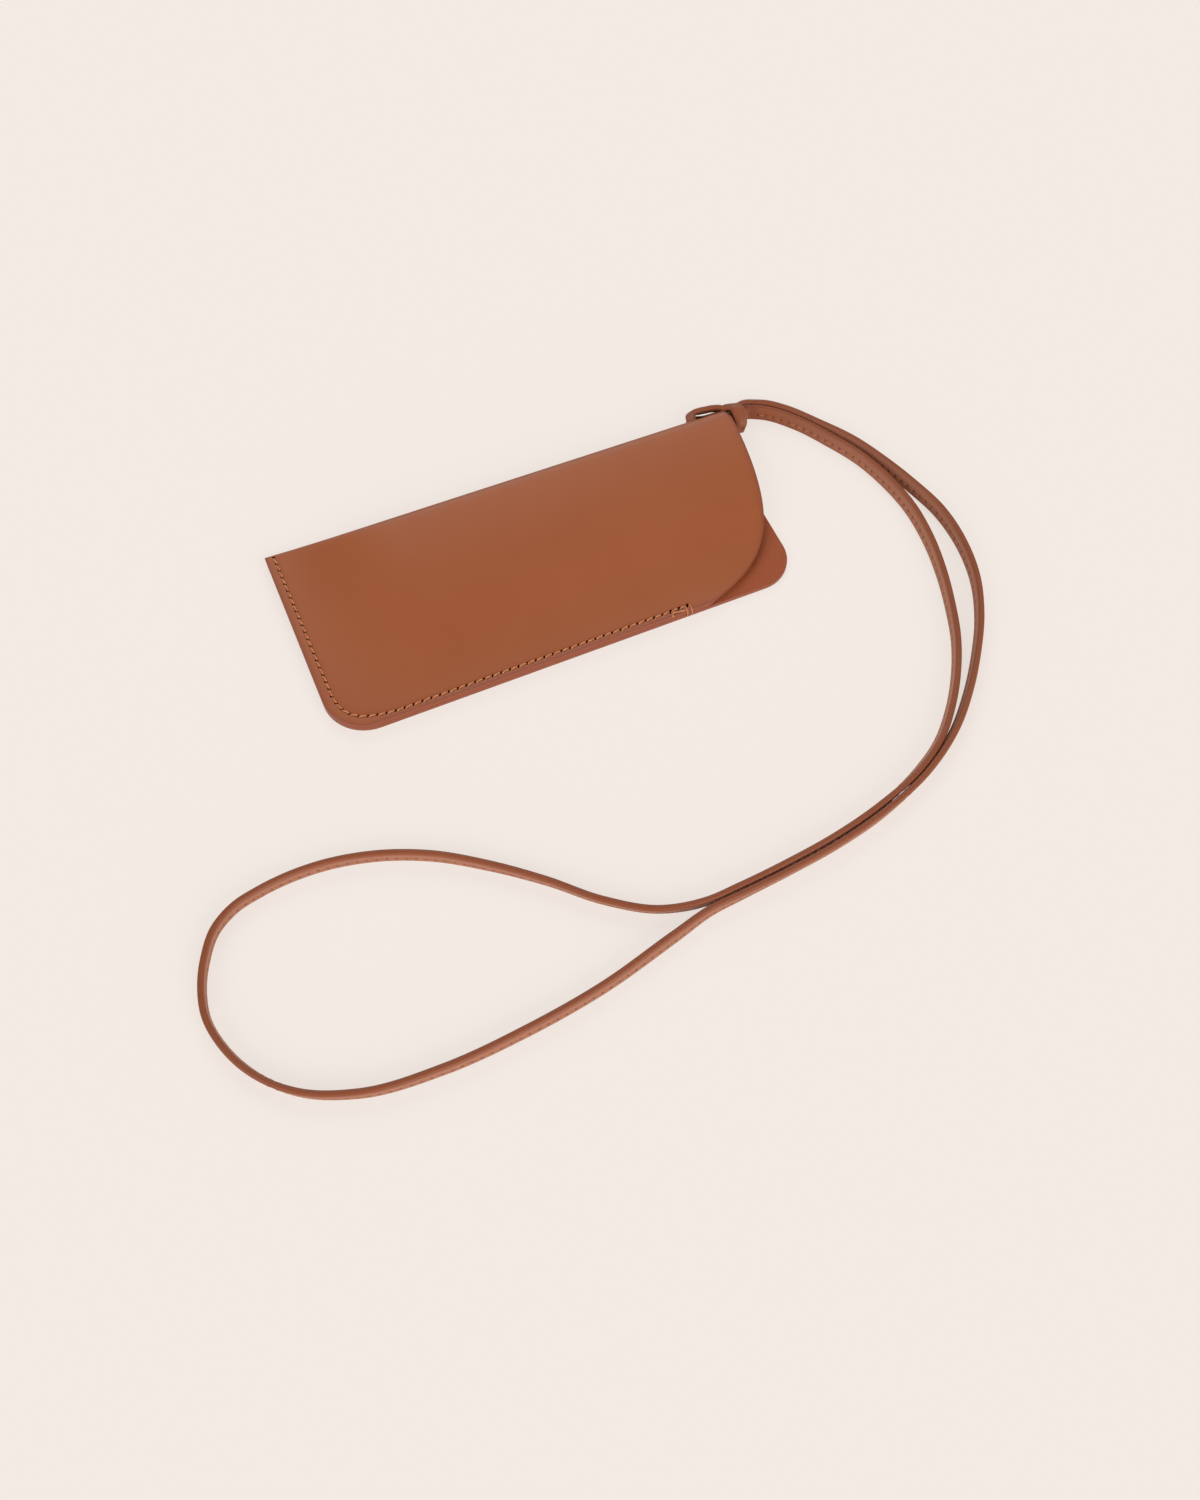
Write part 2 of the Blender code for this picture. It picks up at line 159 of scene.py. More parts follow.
def new_material(name):
    """An empty node material with its output, and its tree."""
    material = bpy.data.materials.new(name)
    material.use_nodes = True
    tree = material.node_tree
    tree.nodes.clear()
    return material, tree


def finish_material(tree, settings, links):
    """Close the material with its one surface shader."""
    shader = add_node(tree, "ShaderNodeBsdfPrincipled", settings, links)
    add_node(tree, "ShaderNodeOutputMaterial", links={"Surface": shader.outputs["BSDF"]})


def per_metre(size_mm):
    """Texture scale that gives features of this size in millimetres, on metre coordinates."""
    return 1 / (size_mm * millimetre)


def shade(colour, factor, warmth=0.0):
    """The colour darker or lighter, and redder or less red."""
    return (colour[0] * factor * (1 + warmth), colour[1] * factor, colour[2] * factor * (1 - warmth), 1)


def object_place(tree):
    """Where each point is on its object, in metres."""
    return add_node(tree, "ShaderNodeTexCoord").outputs["Object"]


def noise(tree, place, size_mm, detail=2.0):
    """Noise with features of this size."""
    return add_node(tree, "ShaderNodeTexNoise", {"Scale": per_metre(size_mm), "Detail": detail},
                    {"Vector": place}).outputs["Fac"]


def two_tone(tree, pattern, colour, *tones):
    """The colour shaded along a pattern. Each of two tones has a place on it, a factor and a warmth."""
    ramp = add_node(tree, "ShaderNodeValToRGB", links={"Fac": pattern})
    for index, (position, *change) in enumerate(tones):
        element = ramp.color_ramp.elements[index]
        element.position, element.color = position, shade(colour, *change)
    return ramp.outputs["Color"]


def relief(tree, height, strength, depth_mm):
    """Surface directions over a relief of this depth."""
    return add_node(tree, "ShaderNodeBump", {"Strength": strength, "Distance": depth_mm * millimetre},
                    {"Height": height}).outputs["Normal"]


def leather_material(name, colour, roughness, bump, edge_dye_and_flank_sheen, gloss_level):
    """Smooth vegetable-tanned leather: close even colour that drifts over centimetres, satin gloss
    from its dressing, and a grain too fine to see except where light grazes it."""
    material, tree = new_material(name)
    place = object_place(tree)
    # Dye drift over about 30 mm and hide mottling over about 7 mm
    drift, mottle = noise(tree, place, 30), noise(tree, place, 7, 3.0)
    both = add_node(tree, "ShaderNodeMath", {"operation": 'MULTIPLY_ADD', 1: 0.35}, {0: mottle, 2: drift})
    tone = two_tone(tree, both.outputs[0], colour, (0.45, 0.96, 0.02), (0.90, 1.04, -0.02))
    # Pouch: burnished dye near the outline. Strap: lighter sewn faces, partly their own tan and partly
    # painted sheen and side light
    edge = add_node(tree, "ShaderNodeAttribute", {"attribute_name": "edge_dye_and_flank_sheen"})
    tinted = add_node(tree, "ShaderNodeMix", {"data_type": 'RGBA', "B": edge_dye_and_flank_sheen},
                      {"Factor": edge.outputs["Fac"], "A": tone})
    # Painted shade in the needle holes: the colour darkens where the holes are marked
    pricked = add_node(tree, "ShaderNodeAttribute", {"attribute_name": "pricked"})
    base = add_node(tree, "ShaderNodeMix", {"data_type": 'RGBA', "B": shade(colour, 0.30, 0.1)},
                    {"Factor": pricked.outputs["Fac"], "A": tinted.outputs["Result"]})
    # Pores about 0.35 mm apart, on growth lines of about 2 mm
    pores = add_node(tree, "ShaderNodeTexVoronoi", {"Scale": per_metre(0.35)}, {"Vector": place})
    grain = add_node(tree, "ShaderNodeMath", {"operation": 'MULTIPLY_ADD', 1: 0.5},
                     {0: pores.outputs["Distance"], 2: noise(tree, place, 2, 4.0)})
    gloss = add_node(tree, "ShaderNodeMapRange", {"To Min": roughness - 0.04, "To Max": roughness + 0.04},
                     {"Value": mottle})
    finish_material(tree, {"IOR": 1.45, "Specular IOR Level": gloss_level},
                    {"Base Color": base.outputs["Result"], "Roughness": gloss.outputs["Result"],
                     "Normal": relief(tree, grain.outputs[0], bump, 0.03)})
    return material


def flesh_material(name, colour):
    """Flesh side of the same leather, brushed flat: redder, matt, with a short fibrous nap."""
    material, tree = new_material(name)
    # Fibre bundles about 0.4 mm across, drawn out along the blank
    stretched = add_node(tree, "ShaderNodeMapping", {"Scale": (0.4, 1, 1)}, {"Vector": object_place(tree)})
    fibre = noise(tree, stretched.outputs["Vector"], 0.4, 4.0)
    finish_material(tree, {"Roughness": 0.78, "IOR": 1.45, "Specular IOR Level": 0.3},
                    {"Base Color": two_tone(tree, fibre, colour, (0.30, 0.93), (0.70, 1.05)),
                     "Normal": relief(tree, fibre, 0.25, 0.06)})
    return material


def pricked_material(name, colour):
    """Cut leather inside a pricked hole: raw fibre, coloured dark as painted shade in the slit, and matt."""
    material, tree = new_material(name)
    # Torn fibres about 0.2 mm across
    fibre = noise(tree, object_place(tree), 0.2)
    finish_material(tree, {"Roughness": 0.9, "Specular IOR Level": 0.0},
                    {"Base Color": two_tone(tree, fibre, colour, (0.35, 0.8), (0.65, 1.2))})
    return material


def edge_material(name, colour):
    """Burnished leather edge: dyed redder, polished to a low gloss, with faint lengthwise fibres."""
    material, tree = new_material(name)
    # Fibre layers about 0.15 mm thick, level with the faces
    layers = add_node(tree, "ShaderNodeMapping", {"Scale": (0.1, 0.1, 1)}, {"Vector": object_place(tree)})
    fibre = noise(tree, layers.outputs["Vector"], 0.15)
    finish_material(tree, {"Roughness": 0.45, "IOR": 1.45},
                    {"Base Color": two_tone(tree, fibre, colour, (0.35, 0.92), (0.65, 1.06)),
                     "Normal": relief(tree, fibre, 0.2, 0.04)})
    return material


def thread_material(name, colour):
    """Waxed polyester thread: two twisted plies with painted highlights on their crowns and painted shade
    between them, and a soft waxy gloss.
    """
    material, tree = new_material(name)
    # Plies about 0.6 mm apart
    plies = add_node(tree, "ShaderNodeTexWave", {"Scale": per_metre(0.6) / (2 * pi), "Distortion": 1.0,
                                                 "bands_direction": 'DIAGONAL'},
                     {"Vector": object_place(tree)}).outputs["Fac"]
    finish_material(tree, {"Roughness": 0.55, "Specular IOR Level": 0.2},
                    {"Base Color": two_tone(tree, plies, colour, (0.2, 0.80), (0.7, 1.08)),
                     "Normal": relief(tree, plies, 0.4, 0.08)})
    return material


# Shared shapes

def ease(share):
    """Smooth step from 0 to 1."""
    share = min(max(share, 0), 1)
    return share * share * (3 - 2 * share)


def bell(offset, width):
    """1 at no offset, fading to 0 over a few widths."""
    return exp(-(offset / width) ** 2)


def new_piece(name, bm, materials):
    """A mesh object from bmesh, smooth, with its materials."""
    mesh = bpy.data.meshes.new(name)
    bm.to_mesh(mesh)
    bm.free()
    for material in materials:
        mesh.materials.append(material)
    mesh.shade_smooth()
    piece = bpy.data.objects.new(name, mesh)
    bpy.context.scene.collection.objects.link(piece)
    return piece


def closed_piece(name, bm, materials):
    """A piece made of closed shapes, with its faces turned outward."""
    bmesh.ops.recalc_face_normals(bm, faces=bm.faces)
    return new_piece(name, bm, materials)


def skin_tube(bm, rings, raw=()):
    """Faces over both ends of a line of rings and between them, with material 1 on the raw sides."""
    bm.faces.new(list(reversed(rings[0])))
    bm.faces.new(rings[-1])
    count = len(rings[0])
    for near, far in zip(rings, rings[1:]):
        for k in range(count):
            after = (k + 1) % count
            bm.faces.new((near[k], near[after], far[after], far[k])).material_index = int(k in raw)


def way_at(line, index):
    """The way from the point before one point of a line to the point after it."""
    return Vector(line[min(index + 1, len(line) - 1)]) - Vector(line[max(index - 1, 0)])


def apply_modifiers(piece):
    """Bake the modifiers into the mesh."""
    evaluated = piece.evaluated_get(bpy.context.evaluated_depsgraph_get())
    mesh = bpy.data.meshes.new_from_object(evaluated)
    piece.modifiers.clear()
    old = piece.data
    piece.data = mesh
    bpy.data.meshes.remove(old)


def smooth_line(knots, spacing):
    """Evenly spaced samples on a smooth curve through knots, each a list of numbers that starts
    with x, y and z. Slopes are weighted by the lengths beside each knot, so uneven knots don't loop."""
    spans = [(Vector(b[:3]) - Vector(a[:3])).length for a, b in zip(knots, knots[1:])]
    slopes = []
    for index, knot in enumerate(knots):
        before, after = max(index - 1, 0), min(index, len(spans) - 1)
        left, right = spans[before], spans[after]
        arriving = [(b - a) / left for a, b in zip(knots[before], knots[before + 1])]
        leaving = [(b - a) / right for a, b in zip(knots[after], knots[after + 1])]
        slopes.append([(a * right + b * left) / (left + right) for a, b in zip(arriving, leaving)])
    fine = []
    for index, span in enumerate(spans):
        steps = max(2, round(span / (0.2 * spacing)))
        for step in range(steps):
            t = step / steps
            a, b = 2 * t ** 3 - 3 * t ** 2 + 1, (t ** 3 - 2 * t ** 2 + t) * span
            c, d = 3 * t ** 2 - 2 * t ** 3, (t ** 3 - t ** 2) * span
            fine.append([a * p + b * m + c * q + d * n for p, m, q, n in
                         zip(knots[index], slopes[index], knots[index + 1], slopes[index + 1])])
    fine.append(list(knots[-1]))
    runs = [0.0]
    for a, b in zip(fine, fine[1:]):
        runs.append(runs[-1] + (Vector(b[:3]) - Vector(a[:3])).length)
    count = max(2, round(runs[-1] / spacing))
    samples = []
    for step in range(count + 1):
        target = runs[-1] * step / count
        after = min(max(bisect_left(runs, target), 1), len(runs) - 1)
        share = (target - runs[after - 1]) / (runs[after] - runs[after - 1])
        samples.append([a + (b - a) * share for a, b in zip(fine[after - 1], fine[after])])
    return samples, runs[-1]


# The folded blank, from its closed end and its bottom edge

fold_opening_length = 0.045
fold_opening_drop = 0.0032
fold_taper_drop = 0.0021
climb_power = 0.8
closed_corner_radius = 0.0154
back_leaf_length = 0.1743
fold_length = 0.1783
mouth_corner_radius = 0.0135
mouth_straight_height = 0.030
crest_height, crest_rounding, crest_pull, crest_drift = 0.0704, 0.0050, 0.0503, 0.0027
foot_length, foot_pull, foot_rise = 0.1387, 0.0272, 0.0084
cement_gap, cement_width, cement_inset = 0.0003, 0.0042, 0.0002
cement_end_length = 0.1360
cement_rim, cement_bite, cement_steps = 0.00008, 0.00005, 24
hole_radius = 0.0031
hole_from_mouth = 0.0110
corner_rows, leaf_rows, fold_rows, columns = 12, 30, 20, 92


def pouch():
    return bpy.context.scene.glasses_pouch


def place(along, up):
    """World X and Y of a point of the pouch."""
    return along - pouch().length / 2, up - pouch().height / 2


def pouch_place(spot):
    """A world point's distances from the closed end and from the bottom edge."""
    return spot.x + pouch().length / 2, spot.y + pouch().height / 2


def fold_edge(along):
    """Height of the folded edge above the bottom edge: the rounder fold takes up leather."""
    opened = ease(along / fold_opening_length)
    return pouch().height - fold_opening_drop * opened - fold_taper_drop * along / pouch().length


def fold_height(along):
    """Height that the front leaf climbs from the pressed end to the open fold."""
    pressed = 2 * pouch().leather + cement_gap
    start = cement_width + cement_inset
    return (pouch().fold_thickness - pressed) * ease((along - start) / (fold_opening_length - start))


def fold_base(along):
    """Height above the bottom edge where the leaves end and the round fold begins."""
    return fold_edge(along) - (2 * pouch().leather + cement_gap + fold_height(along)) / 2


def front_middle(along, up):
    """Middle of the front leaf's thickness above the table."""
    pressed = 1.5 * pouch().leather + cement_gap
    start = cement_width + cement_inset
    return pressed + fold_height(along) * ease((up - start) / (fold_base(along) - start)) ** climb_power


def closed_end(up):
    """Left outline: straight, with one large round corner at the bottom."""
    drop = max(closed_corner_radius - up, 0)
    return closed_corner_radius - sqrt(max(closed_corner_radius ** 2 - drop ** 2, 0))


def back_mouth(up):
    """Right outline of the back leaf."""
    if up < mouth_corner_radius:
        drop = mouth_corner_radius - up
        return back_leaf_length - mouth_corner_radius + sqrt(mouth_corner_radius ** 2 - drop ** 2)
    widening = ease((up - mouth_straight_height) / (fold_base(fold_length) - mouth_straight_height))
    return back_leaf_length + (fold_length - back_leaf_length) * widening


def cubic(values, share):
    """Point of a cubic curve with four control values."""
    rest = 1 - share
    weights = (rest ** 3, 3 * rest ** 2 * share, 3 * rest * share ** 2, share ** 3)
    return sum(value * weight for value, weight in zip(values, weights))


def front_mouth(up):
    """Right outline of the front leaf: a long curve from its crest down to its foot."""
    length = pouch().length
    if up > crest_height:
        return length - (length - fold_length) * ease((up - crest_height) / crest_rounding)
    alongs = (length, length - crest_drift, foot_length + foot_pull, foot_length)
    ups = (crest_height, crest_height - crest_pull, foot_rise, 0)
    low, high = 0, 1
    for _ in range(40):
        share = (low + high) / 2
        if cubic(ups, share) > up:
            low = share
        else:
            high = share
    return cubic(alongs, share)


def leaf_heights(along):
    """Heights of the rows of one leaf, closest together in the round corners."""
    rows = [closed_corner_radius * (1 - cos(pi / 2 * step / corner_rows)) for step in range(corner_rows)]
    rise = fold_base(along) - closed_corner_radius
    return rows + [closed_corner_radius + rise * step / leaf_rows for step in range(leaf_rows + 1)]


def blank_row(mouth, row):
    """Middle of the leather across one row of a leaf."""
    start = closed_end(leaf_heights(0)[row])
    end = mouth(leaf_heights(fold_length)[row])
    points = []
    for column in range(columns + 1):
        along = start + (end - start) * column / columns
        up = leaf_heights(along)[row]
        height = front_middle(along, up) if mouth == front_mouth else pouch().leather / 2
        points.append(Vector((*place(along, up), height)))
    return points


def fold_row(turn_share):
    """Middle of the leather along one line of the round fold."""
    ends = [mouth(fold_base(fold_length)) for mouth in (back_mouth, front_mouth)]
    end = ends[0] + (ends[1] - ends[0]) * turn_share
    turn = pi * turn_share
    points = []
    for column in range(columns + 1):
        along = end * column / columns
        base = fold_base(along)
        low, high = pouch().leather / 2, front_middle(along, base)
        up = base + (fold_edge(along) - pouch().leather / 2 - base) * sin(turn)
        points.append(Vector((*place(along, up), (low + high) / 2 - (high - low) / 2 * cos(turn))))
    return points


def leather_sheet():
    """The blank's two faces with burnished walls, as bmesh, and material 0 grain, 1 flesh, 2 edge."""
    last = corner_rows + leaf_rows
    rows = [blank_row(back_mouth, row) for row in range(last)]
    rows += [fold_row(step / fold_rows) for step in range(fold_rows + 1)]
    rows += [blank_row(front_mouth, row) for row in reversed(range(last))]
    turned = list(zip(*rows))
    half = pouch().leather / 2
    bm = bmesh.new()
    outer, inner = [], []
    for r, row in enumerate(rows):
        outer_row, inner_row = [], []
        for c, point in enumerate(row):
            normal = way_at(turned[c], r).cross(way_at(row, c)).normalized()
            outer_row.append(bm.verts.new(point + normal * half))
            inner_row.append(bm.verts.new(point - normal * half))
        outer.append(outer_row)
        inner.append(inner_row)
    for r in range(len(rows) - 1):
        for c in range(columns):
            bm.faces.new((outer[r][c], outer[r][c + 1], outer[r + 1][c + 1], outer[r + 1][c]))
            face = bm.faces.new((inner[r][c], inner[r + 1][c], inner[r + 1][c + 1], inner[r][c + 1]))
            face.material_index = 1
    for r in range(len(rows) - 1):
        for c in (0, columns):
            bm.faces.new((outer[r][c], outer[r + 1][c], inner[r + 1][c], inner[r][c])).material_index = 2
    for c in range(columns):
        for r in (0, len(rows) - 1):
            bm.faces.new((outer[r][c], inner[r][c], inner[r][c + 1], outer[r][c + 1])).material_index = 2
    bmesh.ops.recalc_face_normals(bm, faces=bm.faces)
    bm.edges.ensure_lookup_table()
    open_end = {row[columns] for row in inner}
    rims = []
    for edge in bm.edges:
        kinds = {face.material_index for face in edge.link_faces}
        if kinds == {0, 2} or kinds == {1, 2} and set(edge.verts) <= open_end:
            rims.append(edge)
    bmesh.ops.bevel(bm, geom=rims, offset=pouch().edge_radius, segments=3, profile=0.5,
                    affect='EDGES', clamp_overlap=True, material=2)
    return bm


# The stitch line, from the fold down the closed end, round the corner and along the bottom

stitch_knots = [
    (0.00305, 0.0801), (0.00315, 0.0700), (0.00325, 0.0560), (0.00335, 0.0420), (0.0035, 0.0290),
    (0.00362, 0.0200), (0.00368, 0.0150), (0.0046, 0.0113), (0.0060, 0.0083), (0.0082, 0.0060),
    (0.0109, 0.0044), (0.0140, 0.0035), (0.0172, 0.0028), (0.0205, 0.0023), (0.0300, 0.0022),
    (0.0600, 0.0022), (0.1000, 0.0022), (0.1305, 0.0022),
]
stitch_margin = 0.0062
slit_angle = radians(48)
wide_slits, wide_slit_scale = 3, 1.35
hole_sides, cutter_overrun = 40, 0.0012


def stitch_line(spacing):
    """Places, in pouch measures, along the stitch line, and its length."""
    samples, length = smooth_line([(along, up, 0) for along, up in stitch_knots], spacing)
    return [Vector(sample[:2]) for sample in samples], length


def hole_places():
    """Each hole's place and the line's direction there."""
    line, _ = stitch_line(bpy.context.scene.saddle_stitch.pitch)
    return [(spot, way_at(line, index).normalized()) for index, spot in enumerate(line)]


def front_top(along, up):
    """Height of the front leaf's outer face."""
    return front_middle(along, up) + pouch().leather / 2


def sink_stitches(bm):
    """Refine the sewn margin on both outer faces, and draw it in along the thread and at each hole."""
    margin = []
    for face in bm.faces:
        along, up = pouch_place(face.calc_center_median())
        level = abs(face.normal.z) > 0.8 and face.material_index == 0
        near_end = along - closed_end(up) < stitch_margin
        near_bottom = up < stitch_margin and along < foot_length
        if level and (near_end or near_bottom):
            margin.append(face)
    edges = {edge for face in margin for edge in face.edges}
    bmesh.ops.subdivide_edges(bm, edges=list(edges), cuts=3, use_grid_fill=True)
    line, length = stitch_line(0.1 * millimetre)
    tree = KDTree(len(line))
    for index, spot in enumerate(line):
        tree.insert((*place(*spot), 0), index)
    tree.balance()
    step = length / (len(line) - 1)
    holes = len(hole_places()) - 1
    bm.normal_update()
    for vert in bm.verts:
        if abs(vert.normal.z) < 0.8:
            continue
        _, index, off = tree.find((vert.co.x, vert.co.y, 0))
        if off > 3 * millimetre or not any(face.material_index == 0 for face in vert.link_faces):
            continue
        near_hole = cos(pi * index * step / length * holes) ** 2
        drawn_in = 0.07 * bell(off, 1.1 * millimetre) + 0.10 * near_hole * bell(off, 0.9 * millimetre)
        if vert.normal.z < 0:
            drawn_in = 0.34 * bell(off, 0.55 * millimetre)
        vert.co.z -= vert.normal.z * drawn_in * millimetre


def slit_cutter():
    """Slanted slits, one to a hole, right through both leaves."""
    stitch = bpy.context.scene.saddle_stitch
    bm = bmesh.new()
    holes = hole_places()
    for index, (spot, ahead) in enumerate(holes):
        # The last holes take the thread more than once
        large = wide_slit_scale if index >= len(holes) - wide_slits else 1.0
        long, wide = stitch.slit_length / 2 * large, stitch.slit_width / 2 * large
        outline = [(long, 0), (long / 2, wide), (-long / 2, wide), (-long, 0), (-long / 2, -wide),
                   (long / 2, -wide)]
        x, y = place(*spot)
        turn = Matrix.Rotation(atan2(ahead.y, ahead.x) + slit_angle, 2)
        shifts = [turn @ Vector(corner) for corner in outline]
        skin_tube(bm, [[bm.verts.new((x + shift.x, y + shift.y, height * millimetre)) for shift in shifts]
                       for height in (-1, 6)])
    return closed_piece("slit_cutter", bm, [pricked_material("Raw leather darkened as painted shade", stitch.slit_shade_colour)])


def hole_cutter():
    """The round punch of the strap's hole, through the far side of the fold."""
    along = fold_length - hole_from_mouth
    x, y = place(along, fold_edge(along))
    middle = (2 * pouch().leather + cement_gap + fold_height(along)) / 2
    bm = bmesh.new()
    turns = [2 * pi * step / hole_sides for step in range(hole_sides)]
    skin_tube(bm, [[bm.verts.new((x + hole_radius * cos(t), y - depth, middle + hole_radius * sin(t)))
                    for t in turns] for depth in (-cutter_overrun, pouch().leather + cutter_overrun)])
    return closed_piece("hole_cutter", bm, [])


def cut_away(piece, cutter):
    """Cut one shape out of a piece."""
    modifier = piece.modifiers.new(cutter.name, 'BOOLEAN')
    modifier.operation, modifier.solver, modifier.object = 'DIFFERENCE', 'EXACT', cutter
    modifier.material_mode = 'TRANSFER' if cutter.data.materials else 'INDEX'
    apply_modifiers(piece)
    bpy.data.objects.remove(cutter)


def tint_edges(piece):
    """Mark how near each point of the leather is to its outline, for the redder burnished margin."""
    values = []
    for vert in piece.data.vertices:
        along, up = pouch_place(vert.co)
        mouth = front_mouth(up) if vert.co.z > 2 * millimetre else back_mouth(max(up, 0))
        inset = min(along - closed_end(max(up, 0)), max(up, 0), mouth - along)
        values.append(bell(max(inset, 0), 1.2 * millimetre))
    layer = piece.data.attributes.new("edge_dye_and_flank_sheen", 'FLOAT', 'POINT')
    layer.data.foreach_set("value", values)


class POUCH_OT_fold_leather(bpy.types.Operator):
    """Fold, prick, punch and burnish the leather blank"""
    bl_idname = "pouch.fold_leather"
    bl_label = "Fold Leather"

    def execute(self, context):
        settings = context.scene.glasses_pouch
        grain = leather_material("Vegetable-tanned leather, smooth grain", settings.grain_colour, 0.5, 0.25,
                                 tuple(settings.edge_colour), 0.5)
        flesh = flesh_material("Vegetable-tanned leather, flesh side", settings.flesh_colour)
        edge = edge_material("Burnished leather edge", settings.edge_colour)
        bm = leather_sheet()
        sink_stitches(bm)
        piece = new_piece("pouch_leather", bm, [grain, flesh, edge])
        cut_away(piece, hole_cutter())
        cut_away(piece, slit_cutter())
        piece.data.set_sharp_from_angle(angle=radians(50))
        tint_edges(piece)
        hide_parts("pouch_body")
        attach(piece, "pouch")
        return {'FINISHED'}


class POUCH_OT_cement_seam(bpy.types.Operator):
    """Fill the burnished seam between the two leaves"""
    bl_idname = "pouch.cement_seam"
    bl_label = "Cement Seam"

    def execute(self, context):
        settings = context.scene.glasses_pouch
        bm = bmesh.new()
        rings = []
        for inset in (cement_rim, cement_width):
            radius = closed_corner_radius - inset
            line = [(inset, fold_base(0))]
            for step in range(cement_steps + 1):
                turn = pi / 2 * step / cement_steps
                line.append((closed_corner_radius - radius * cos(turn),
                             closed_corner_radius - radius * sin(turn)))
            line.append((cement_end_length, inset))
            for height in (settings.leather - cement_bite, settings.leather + cement_gap + cement_bite):
                rings.append([bm.verts.new((*place(*point), height)) for point in line])
        order = (rings[0], rings[1], rings[3], rings[2])
        for near, far in zip(order, order[1:] + order[:1]):
            for k in range(len(near) - 1):
                bm.faces.new((near[k], near[k + 1], far[k + 1], far[k]))
        for k in (0, -1):
            bm.faces.new([ring[k] for ring in order])
        piece = closed_piece("cement_seam", bm, [edge_material("Burnished seam", settings.edge_colour)])
        piece.data.set_sharp_from_angle(angle=radians(30))
        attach(piece, "pouch")
        return {'FINISHED'}


# Thread

def add_thread(bm, line, radius, sides=8):
    """One closed length of thread along a line of points."""
    rings = []
    turns = [2 * pi * side / sides for side in range(sides)]
    for index, point in enumerate(line):
        forward = way_at(line, index).normalized()
        across = forward.cross(Vector((0, 0, 1)))
        if across.length < 0.05:
            across = forward.cross(Vector((0, 1, 0)))
        across.normalize()
        rise = across.cross(forward)
        rings.append([bm.verts.new(point + (across * cos(t) + rise * sin(t)) * radius) for t in turns])
    skin_tube(bm, rings)


def add_curved_thread(bm, knots, radius):
    """One closed length of thread on a smooth curve through knots."""
    samples, _ = smooth_line(knots, 0.25 * millimetre)
    add_thread(bm, [Vector(sample[:3]) for sample in samples], radius)


# How high each point of a stitch stands above its leather, in thread diameters
stitch_profile = [(0.07, -2.2), (0.11, -1.2), (0.17, -0.35), (0.26, 0.02), (0.38, 0.16), (0.50, 0.20),
                  (0.62, 0.16), (0.74, 0.02), (0.83, -0.35), (0.89, -1.2), (0.93, -2.2)]
stitch_slant = 0.32 * millimetre


class POUCH_OT_sew_margin(bpy.types.Operator):
    """Saddle stitches along the closed end and the bottom, on both faces, with wraps at the mouth end"""
    bl_idname = "pouch.sew_margin"
    bl_label = "Sew Margin"

    def execute(self, context):
        stitch = context.scene.saddle_stitch
        thick = stitch.thread
        bm = bmesh.new()
        holes = hole_places()
        for (start, start_way), (end, end_way) in zip(holes, holes[1:]):
            for front in (True, False):
                line = []
                for share, rise in stitch_profile:
                    spot = start.lerp(end, share)
                    ahead = start_way.lerp(end_way, share).normalized()
                    aside = Vector((-ahead.y, ahead.x)) * stitch_slant * (2 * share - 1)
                    spot = spot + (aside if front else -aside)
                    if front:
                        height = front_top(*spot) + rise * thick
                    else:
                        height = 0.55 * thick + max(0.1 - rise, 0) * thick * 0.8
                    line.append(Vector((*place(*spot), height)))
                add_thread(bm, line, thick / 2)
        # The thread ends in two wraps over the edge at the last hole, and a back stitch beside it
        last, _ = holes[-1]
        for shift in (-0.80, 0.95):
            along = last.x + shift * millimetre
            top = front_top(along, last.y)
            wrap = [(last.y, top - thick), (last.y - 0.3 * millimetre, top + 0.1 * thick),
                    (last.y / 2, top + 0.3 * thick), (0.1 * millimetre, top + 0.05 * thick),
                    (-0.15 * millimetre, top - 0.8 * thick), (-0.2 * millimetre, top / 2),
                    (-0.12 * millimetre, 1.3 * thick), (0.5 * millimetre, 0.6 * thick),
                    (last.y, 0.9 * thick)]
            add_curved_thread(bm, [(*place(along, up), height) for up, height in wrap], thick / 2)
        # From the third last hole the thread comes over the edge and runs on beside the line to the wraps
        over = [(-6.3, -0.18, -0.9), (-6.3, -0.02, 0.05), (-6.25, 0.45, 0.3), (-6.15, 1.00, 0.3),
                (-5.6, 1.15, 0.3), (-4.2, 0.95, 0.3), (-2.4, 0.60, 0.3), (-1.2, 0.42, 0.3),
                (-0.9, 0.30, -0.2)]
        knots = []
        for shift, up, rise in over:
            along, up = last.x + shift * millimetre, up * millimetre
            knots.append((*place(along, up), front_top(along, max(up, 0)) + rise * thick))
        add_curved_thread(bm, knots, thick / 2)
        piece = closed_piece("margin_thread", bm, [thread_material("Waxed polyester thread", stitch.colour)])
        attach(piece, "pouch")
        return {'FINISHED'}


# The strap's route, from the CAD source, with points moved at the hitch and where the strands meet

